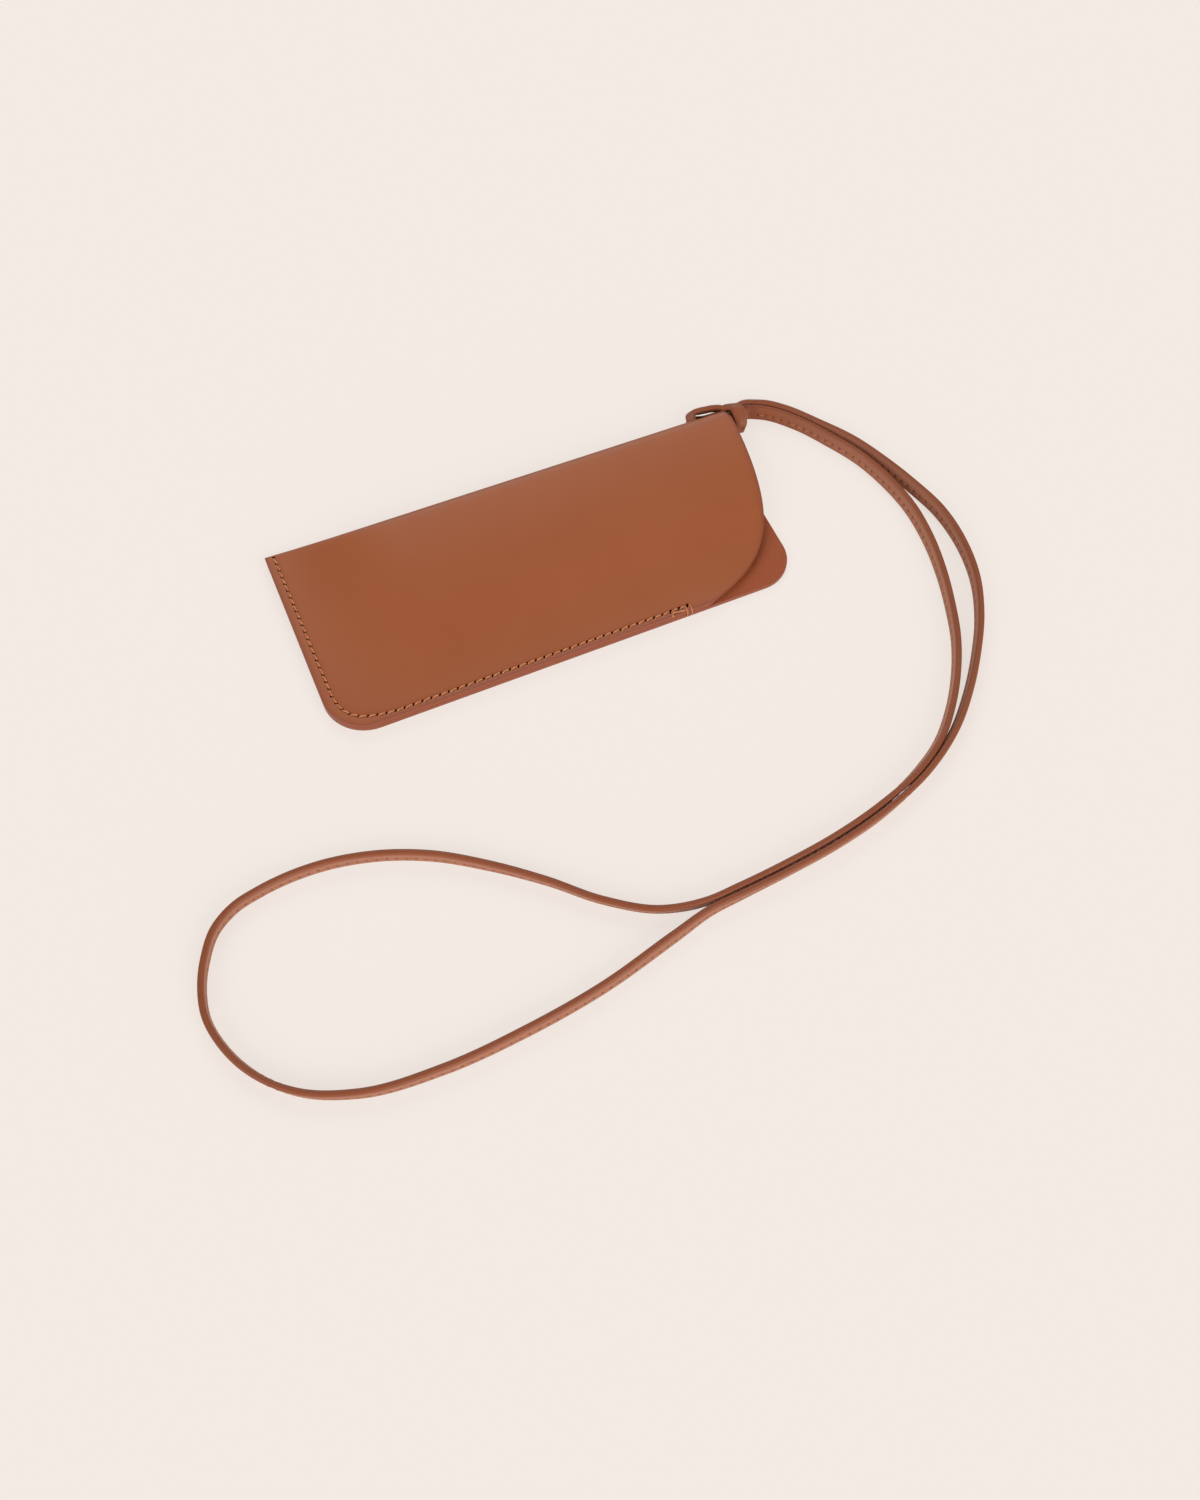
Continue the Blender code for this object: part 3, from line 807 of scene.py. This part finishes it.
# The free loop on the table: x, y and the strap's lean in degrees
loop_route = [
    (0.1031, 0.0356, 28), (0.1070, 0.0336, 30), (0.1122, 0.0290, 32), (0.1208, 0.0177, 34),
    (0.1290, 0.0054, 34), (0.1352, -0.0085, 28), (0.1400, -0.0227, 28), (0.1433, -0.0360, 25),
    (0.1435, -0.0522, 16), (0.1402, -0.0681, 12), (0.1334, -0.0828, 10), (0.1238, -0.0969, 11),
    (0.1139, -0.1088, 13), (0.1027, -0.1196, 15), (0.0846, -0.1310, 17), (0.0653, -0.1382, 8),
    (0.0467, -0.1424, 10), (0.0284, -0.1447, 11), (0.0100, -0.1462, 6), (-0.0015, -0.1471, -1),
    (-0.0154, -0.1505, -9), (-0.0432, -0.1573, -8), (-0.0703, -0.1609, -7), (-0.0972, -0.1621, -3),
    (-0.1232, -0.1591, 3), (-0.1393, -0.1519, 9), (-0.1464, -0.1458, 12), (-0.1523, -0.1379, 12),
    (-0.1564, -0.1286, 8), (-0.1583, -0.1184, 3), (-0.1568, -0.1085, 0), (-0.1532, -0.0997, 0),
    (-0.1478, -0.0917, 0), (-0.1398, -0.0865, 0), (-0.1309, -0.0843, 0), (-0.1125, -0.0833, 0),
    (-0.0940, -0.0867, 0), (-0.0765, -0.0940, 0), (-0.0604, -0.1048, -3), (-0.0453, -0.1173, -9),
    (-0.0316, -0.1305, -13), (-0.0163, -0.1405, -14), (-0.0018, -0.1438, -9), (0.0099, -0.1434, -11),
    (0.0280, -0.1420, -12), (0.0463, -0.1397, -11), (0.06453, -0.13570, -9), (0.08344, -0.12878, -19),
    (0.09536, -0.12155, -17), (0.1056, -0.1114, -12), (0.1143, -0.0998, -10), (0.1209, -0.0882, -10),
    (0.1262, -0.0748, -12), (0.1306, -0.0604, -16), (0.1335, -0.0456, -21), (0.1343, -0.0304, -26),
    (0.1324, -0.0168, -28), (0.1284, -0.0031, -28), (0.1221, 0.0093, -28), (0.1146, 0.0214, -28),
    (0.1054, 0.0310, -28), (0.1020, 0.0330, -28),
]

pinched_width, pressed_width, pressed_thickness, pair_clearance = 0.0038, 0.0050, 0.0019, 0.00025

# Both strands from the loop in to the hole: x, y, z of the pair's middle, the strands' lean and the
# pair's roll into a stack, in degrees, and the share of the way that they are pinched
pair_route = [
    (0.10140, 0.0349, 0.00272, 28, 0, 0), (0.09985, 0.0355, 0.00270, 28, 0, 0),
    (0.09810, 0.0356, 0.00282, 32, 8, 0.1), (0.09610, 0.0350, 0.00390, 46, 32, 0.7),
    (0.09390, 0.0334, 0.00450, 60, 52, 1), (0.09160, 0.0319, 0.00450, 76, 72, 1),
    (0.08900, 0.0306, 0.00440, 88, 87, 0.8), (0.08650, 0.0300, 0.00440, 90, 90, 0.8),
    (0.08400, 0.0298, 0.00440, 90, 90, 1),
]

# The band out of the hole, round both strands and in again: place, direction of the wide side, and
# the width's share of the way from pinched to pressed
under_route = [
    (0.08120, 0.0300, 0.00338, 0.15, 0.99, 0, 0), (0.07890, 0.0310, 0.00338, 0.60, 0.80, 0, 0),
    (0.07745, 0.0331, 0.00338, 0.95, 0.30, 0, 0), (0.07710, 0.0350, 0.00335, 1, 0, 0, 0),
    (0.07720, 0.0370, 0.00300, 1, -0.10, 0, 0), (0.07820, 0.0384, 0.00220, 0.70, -0.70, 0, 0),
    (0.08020, 0.0386, 0.00135, 0.05, -1, 0, 0), (0.08260, 0.0380, 0.00110, -0.20, -0.98, 0, 0),
    (0.08560, 0.0377, 0.00107, 0, -1, 0, 0), (0.08860, 0.0376, 0.00107, 0.05, -1, 0, 0),
    (0.09120, 0.0370, 0.00107, -0.55, -0.83, 0, 0), (0.09280, 0.0348, 0.00107, -0.95, -0.30, 0, 0),
    (0.09300, 0.0318, 0.00107, -1, 0.05, 0, 0), (0.09280, 0.0290, 0.00125, -1, 0.10, 0, 0),
    (0.09250, 0.0271, 0.00230, -1, 0.10, 0, 0), (0.09270, 0.0268, 0.00420, -1, 0.15, 0, 0),
    (0.09320, 0.0277, 0.00590, -1, 0.25, 0, 1), (0.09370, 0.0296, 0.00730, -0.97, 0.25, 0, 1),
    (0.09395, 0.0319, 0.00805, -0.97, 0.20, 0, 1), (0.09370, 0.0342, 0.00775, -0.98, 0.10, 0.05, 1),
    (0.09240, 0.0358, 0.00665, -0.86, -0.10, 0.45, 1.4),
    (0.09100, 0.0367, 0.00540, -0.45, -0.35, 0.80, 1.9),
    (0.08900, 0.0382, 0.00510, -0.22, -0.45, 0.87, 1.4), (0.08640, 0.0391, 0.00510, -0.20, -0.45, 0.87, 1),
    (0.08400, 0.0395, 0.00505, -0.20, -0.45, 0.87, 1), (0.08160, 0.0399, 0.00500, -0.20, -0.45, 0.87, 1),
    (0.07940, 0.0400, 0.00505, -0.10, -0.60, 0.79, 1), (0.07770, 0.0386, 0.00520, 0.40, -0.75, 0.53, 0),
    (0.07710, 0.0368, 0.00540, 0.93, -0.30, 0.20, 0), (0.07710, 0.0350, 0.00540, 1, 0, 0, 0),
    (0.07745, 0.0331, 0.00538, 0.95, 0.30, 0, 0), (0.07890, 0.0310, 0.00538, 0.60, 0.80, 0, 0),
    (0.08120, 0.0300, 0.00542, 0.15, 0.99, 0, 0),
]

rings_per_stitch = 6
# Length over which the painted sheen on the strap's sewn faces grows away from the knot
sheen_fade_length = 100 * millimetre
turned_under, puffed = 4.7 * millimetre, 0.4 * millimetre
raw_corner, thread_sink = 0.3 * millimetre, 0.19 * millimetre


def strand_knots(side):
    """One strand of the pair, from the loop in to the hole: place, wide direction, width, thickness."""
    strap = bpy.context.scene.neck_strap
    knots = []
    for index, (x, y, z, lean, roll, pinch) in enumerate(pair_route):
        inward = way_at([row[:2] for row in pair_route], index).normalized()
        across, upright = Vector((inward.y, -inward.x, 0)), Vector((0, 0, 1))
        lean, roll = radians(lean), radians(roll)
        wide = across * sin(lean) + upright * cos(lean)
        apart = across * cos(roll) - upright * sin(roll)
        width = strap.width + (pinched_width - strap.width) * pinch
        thickness = strap.thickness + (pressed_thickness - strap.thickness) * pinch
        spot = Vector((x, y, z)) + apart * side * (thickness + pair_clearance) / cos(lean - roll) / 2
        knots.append([*spot, *wide, width, thickness])
    return knots


def hitch_knots():
    """The hitched band, from the loop's outer strand to its inner one."""
    middle = [[*values[:6], pinched_width + (pressed_width - pinched_width) * values[6], pressed_thickness]
              for values in under_route]
    return strand_knots(1) + middle + list(reversed(strand_knots(-1)))


def loop_knots():
    """The free loop, from the hitch's outer strand round to its inner one."""
    strap = bpy.context.scene.neck_strap
    knots = []
    for index, (x, y, lean) in enumerate(loop_route):
        run = way_at([row[:2] for row in loop_route], index).normalized()
        lean = radians(lean)
        wide = (-run.y * sin(lean), run.x * sin(lean), cos(lean))
        height = ((strap.width / 2 - raw_corner) * cos(lean) + raw_corner
                  + (strap.thickness / 2 - raw_corner) * abs(sin(lean)))
        knots.append([x, y, height, *wide, strap.width, strap.thickness])
    return [strand_knots(1)[0]] + knots + [strand_knots(-1)[0]]


def strap_frames(knots, spacing):
    """Evenly spaced frames along a strap: place, forward, wide and thin directions, width, thickness."""
    samples, length = smooth_line(knots, spacing)
    line = [Vector(sample[:3]) for sample in samples]
    frames = []
    for index, sample in enumerate(samples):
        forward = way_at(line, index).normalized()
        wide = Vector(sample[3:6])
        wide = (wide - forward * wide.dot(forward)).normalized()
        frames.append((line[index], forward, wide, forward.cross(wide), sample[6], sample[7]))
    return frames, length


def seam_place(width):
    """Where the stitching runs across the strap, from the middle of its width."""
    return min(bpy.context.scene.neck_strap.seam_inset, 0.34 * width) - width / 2


def strap_section(width, thickness):
    """The folded strap's section, as places across its width and thickness: a full round fold above,
    a drawn-in seam line on each face and two raw edges with a fine groove between them below."""
    half, deep = width / 2, thickness / 2
    corner = raw_corner
    seam = seam_place(width)
    beside_seam = [(seam + step * millimetre, deep) for step in (0.75, 0.4, 0.15, -0.15, -0.4)]
    low = [(-half + corner, deep), (-half + 0.3 * corner, deep - 0.3 * corner), (-half, deep - corner),
           (-half, 0.15 * deep)]
    side = [(0.2 * half, deep)] + beside_seam + low
    turns = [pi * step / 8 for step in range(9)]
    top = [(half - deep + deep * sin(turn), -deep * cos(turn)) for turn in turns]
    far = [(w, -t) for w, t in reversed(side)]
    return far + top + side + [(-half + 0.18 * millimetre, 0)]


def add_strap(bm, frames, sheen_ends):
    """The strap's skin along its frames, with material 1 on the raw edges. The last argument says how much
    lighter its sewn faces are painted, as painted sheen and side light, where the strands leave the knot and
    where they lie free."""
    tint = bm.verts.layers.float.new("edge_dye_and_flank_sheen")
    pricked = bm.verts.layers.float.new("pricked")
    rings = []
    for index, (spot, _, wide, thin, width, thickness) in enumerate(frames):
        from_knot = min(index, len(frames) - 1 - index) * stitch_spacing()
        sheen_share = sheen_ends[0] + (sheen_ends[1] - sheen_ends[0]) * ease(from_knot / sheen_fade_length)
        phase = (index % rings_per_stitch) / rings_per_stitch
        near_hole = 0 if spot.z > turned_under else max(0, cos(2 * pi * phase))
        seam = seam_place(width)
        # Where it climbs over its own strands the band is drawn into a fuller, rounder shape
        fullness = puffed * ease((spot.z - turned_under) / millimetre)
        ring = []
        for across, deep in strap_section(width, thickness):
            near_seam = bell(across - seam, 0.42 * millimetre)
            drawn_in = (0.08 + 0.16 * near_hole ** 2) * near_seam * millimetre
            deep *= 1 + fullness / thickness * 2 * max(0, 1 - (2 * across / width) ** 2)
            if abs(deep) > 0.8 * thickness / 2:
                deep -= drawn_in * (1 if deep > 0 else -1)
            vert = bm.verts.new(spot + wide * across + thin * deep)
            # Sewn faces below the fold painted lighter, most away from the knot: partly their own tan,
            # partly painted sheen and side light
            vert[tint] = sheen_share * (1 - ease((across / width - 0.14) / 0.32))
            # Painted shade at each needle hole on the seam
            vert[pricked] = near_hole ** 2 * near_seam
            ring.append(vert)
        rings.append(ring)
    count = len(rings[0])
    skin_tube(bm, rings, raw=(count - 3, count - 2, count - 1, 0, 1))


def stitch_spacing():
    return bpy.context.scene.saddle_stitch.pitch / rings_per_stitch


class POUCH_OT_lay_strap(bpy.types.Operator):
    """Lay the folded strap: its hitch through the fold and its long loop on the table"""
    bl_idname = "pouch.lay_strap"
    bl_label = "Lay Strap"

    def execute(self, context):
        strap = context.scene.neck_strap
        grain = leather_material("Folded strap leather, smooth grain", strap.grain_colour, 0.5, 0.3,
                                 tuple(strap.flank_colour), 0.35)
        edge = edge_material("Burnished strap edge", shade(strap.grain_colour, 0.9, 0.05))
        # How much lighter the sewn faces are painted as sheen, near the knot and far from it
        for name, knots, sheen_ends in (("strap_hitch_leather", hitch_knots(), (0.06, 0.06)),
                                    ("neck_strap", loop_knots(), (0.06, 1.0))):
            frames, _ = strap_frames(knots, stitch_spacing())
            bm = bmesh.new()
            add_strap(bm, frames, sheen_ends)
            piece = closed_piece(name, bm, [grain, edge])
            piece.data.set_sharp_from_angle(angle=radians(60))
        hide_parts("strap_hitch")
        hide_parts("strap_loop")
        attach(bpy.data.objects["strap_hitch_leather"], "pouch")
        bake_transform(bpy.data.objects["neck_strap"])
        return {'FINISHED'}


class POUCH_OT_sew_strap(bpy.types.Operator):
    """Fine stitches on both faces of the strap"""
    bl_idname = "pouch.sew_strap"
    bl_label = "Sew Strap"

    def execute(self, context):
        strap, stitch = context.scene.neck_strap, context.scene.saddle_stitch
        thread = thread_material("Fine waxed thread", tuple(stitch.strap_colour))
        for name, knots in (("hitch_thread", hitch_knots()), ("strap_thread", loop_knots())):
            frames, _ = strap_frames(knots, stitch_spacing())
            bm = bmesh.new()
            for first in range(0, len(frames) - rings_per_stitch, rings_per_stitch):
                span = frames[first:first + rings_per_stitch + 1]
                # Where the hitch climbs over its own strands, the seam is turned under and out of sight
                if max(frame[0].z for frame in span) > turned_under:
                    continue
                for face in (1, -1):
                    line = []
                    for index, (spot, _, wide, thin, width, thickness) in enumerate(span):
                        share = index / rings_per_stitch
                        rise = (0.16 - 2.2 * (2 * share - 1) ** 4) * stitch.strap_thread
                        across = seam_place(width) + 0.10 * millimetre * (2 * share - 1) * face
                        out = thickness / 2 - thread_sink + rise
                        line.append(spot + wide * across + thin * face * out)
                    add_thread(bm, line, stitch.strap_thread / 2, sides=6)
            closed_piece(name, bm, [thread])
        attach(bpy.data.objects["hitch_thread"], "pouch")
        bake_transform(bpy.data.objects["strap_thread"])
        frames, length = strap_frames(loop_knots(), stitch_spacing())
        return {'FINISHED'}


# The stage

def add_lamp(name, heading, elevation, spread, strength):
    """A broad soft lamp, far away in a heading from +X, that lights the whole floor evenly."""
    lamp = bpy.data.lights.new(name, 'SUN')
    lamp.energy, lamp.angle = strength, radians(spread)
    holder = bpy.data.objects.new(name, lamp)
    heading, elevation = radians(heading), radians(elevation)
    away = Vector((cos(heading) * cos(elevation), sin(heading) * cos(elevation), sin(elevation)))
    holder.rotation_euler = away.to_track_quat('Z', 'Y').to_euler()
    bpy.context.scene.collection.objects.link(holder)


class POUCH_OT_set_stage(bpy.types.Operator):
    """A pale floor, soft lamps and the camera"""
    bl_idname = "pouch.set_stage"
    bl_label = "Set Stage"

    def execute(self, context):
        scene, stage = context.scene, context.scene.pouch_stage
        bm = bmesh.new()
        bmesh.ops.create_grid(bm, x_segments=4, y_segments=4, size=stage.floor_size / 2)
        paper, tree = new_material("Matt backdrop paper")
        paper_colour = tuple(stage.floor_colour)
        matt = add_node(tree, "ShaderNodeBsdfPrincipled",
                        {"Base Color": paper_colour, "Roughness": 0.9, "Specular IOR Level": 0.0})
        # Seen directly or mirrored, the paper glows a little, as a lit backdrop does
        glow = add_node(tree, "ShaderNodeEmission", {"Color": paper_colour})
        ray = add_node(tree, "ShaderNodeLightPath")
        mirrored = add_node(tree, "ShaderNodeMath", {"operation": 'MAXIMUM'},
                            {0: ray.outputs["Is Glossy Ray"], 1: ray.outputs["Is Transmission Ray"]})
        seen = add_node(tree, "ShaderNodeMath", {"operation": 'MAXIMUM'},
                        {0: ray.outputs["Is Camera Ray"], 1: mirrored.outputs[0]})
        share = add_node(tree, "ShaderNodeMath", {"operation": 'MULTIPLY', 1: stage.floor_glow},
                         {0: seen.outputs[0]})
        both = add_node(tree, "ShaderNodeMixShader", links={"Fac": share.outputs[0], 1: matt.outputs["BSDF"],
                                                            2: glow.outputs["Emission"]})
        add_node(tree, "ShaderNodeOutputMaterial", links={"Surface": both.outputs["Shader"]})
        new_piece("paper_floor", bm, [paper])
        sky = bpy.data.worlds.new("Soft studio")
        sky.use_nodes = True
        background = sky.node_tree.nodes["Background"]
        background.inputs["Color"].default_value = (1, 1, 1, 1)
        background.inputs["Strength"].default_value = stage.sky_strength
        scene.world = sky
        softboxes = (("back", 75, 34, 40, 0.95), ("left", 195, 28, 45, 1.15),
                     ("front", 285, 24, 45, 1.5), ("right", 345, 28, 60, 0.4))
        for side, heading, elevation, spread, share in softboxes:
            add_lamp(side + " softbox", heading, elevation, spread, share * stage.lamp_strength)
        camera = bpy.data.objects.new("camera", bpy.data.cameras.new("camera"))
        camera.data.lens, camera.data.sensor_width = stage.lens, 36
        camera.data.clip_start, camera.data.clip_end = 0.01, 20
        right = Vector((0.91816, -0.39621, 0.0))
        above = Vector((0.34484, 0.79913, 0.49242))
        turn = Matrix((right, above, right.cross(above))).transposed()
        camera.matrix_world = Matrix.Translation((-0.11206, -0.31438, 0.45421)) @ turn.to_4x4()
        scene.collection.objects.link(camera)
        scene.camera = camera
        scene.view_settings.view_transform = 'Standard'
        return {'FINISHED'}


class VIEW3D_PT_glasses_pouch(bpy.types.Panel):
    """The pouch's pieces, with their sizes and colours"""
    bl_label = "Glasses Pouch"
    bl_idname = "VIEW3D_PT_glasses_pouch"
    bl_space_type = 'VIEW_3D'
    bl_region_type = 'UI'
    bl_category = "Glasses Pouch"

    def draw(self, context):
        for group, steps in panel_groups:
            settings = getattr(context.scene, group)
            box = self.layout.box()
            for name in settings.bl_rna.properties.keys():
                if name not in ("rna_type", "name"):
                    box.prop(settings, name)
            for step in steps:
                box.operator(step.bl_idname)


settings_groups = {
    "glasses_pouch": PouchSettings,
    "saddle_stitch": StitchSettings,
    "neck_strap": StrapSettings,
    "pouch_stage": StageSettings,
}
panel_groups = [
    ("glasses_pouch", (POUCH_OT_fold_leather, POUCH_OT_cement_seam)),
    ("saddle_stitch", (POUCH_OT_sew_margin, POUCH_OT_sew_strap)),
    ("neck_strap", (POUCH_OT_lay_strap,)),
    ("pouch_stage", (POUCH_OT_set_stage,)),
]
operators = (POUCH_OT_fold_leather, POUCH_OT_cement_seam, POUCH_OT_sew_margin, POUCH_OT_lay_strap,
             POUCH_OT_sew_strap, POUCH_OT_set_stage)


def register():
    for name, group in settings_groups.items():
        bpy.utils.register_class(group)
        setattr(bpy.types.Scene, name, PointerProperty(type=group))
    for operator in operators:
        bpy.utils.register_class(operator)
    bpy.utils.register_class(VIEW3D_PT_glasses_pouch)


def unregister():
    bpy.utils.unregister_class(VIEW3D_PT_glasses_pouch)
    for operator in reversed(operators):
        bpy.utils.unregister_class(operator)
    for name, group in reversed(settings_groups.items()):
        delattr(bpy.types.Scene, name)
        bpy.utils.unregister_class(group)


def main():
    register()
    bpy.ops.pouch.set_stage()
    bpy.ops.pouch.lay_strap()
    bpy.ops.pouch.sew_strap()
    bpy.ops.pouch.fold_leather()
    bpy.ops.pouch.cement_seam()
    bpy.ops.pouch.sew_margin()


if __name__ == "__main__":
    main()
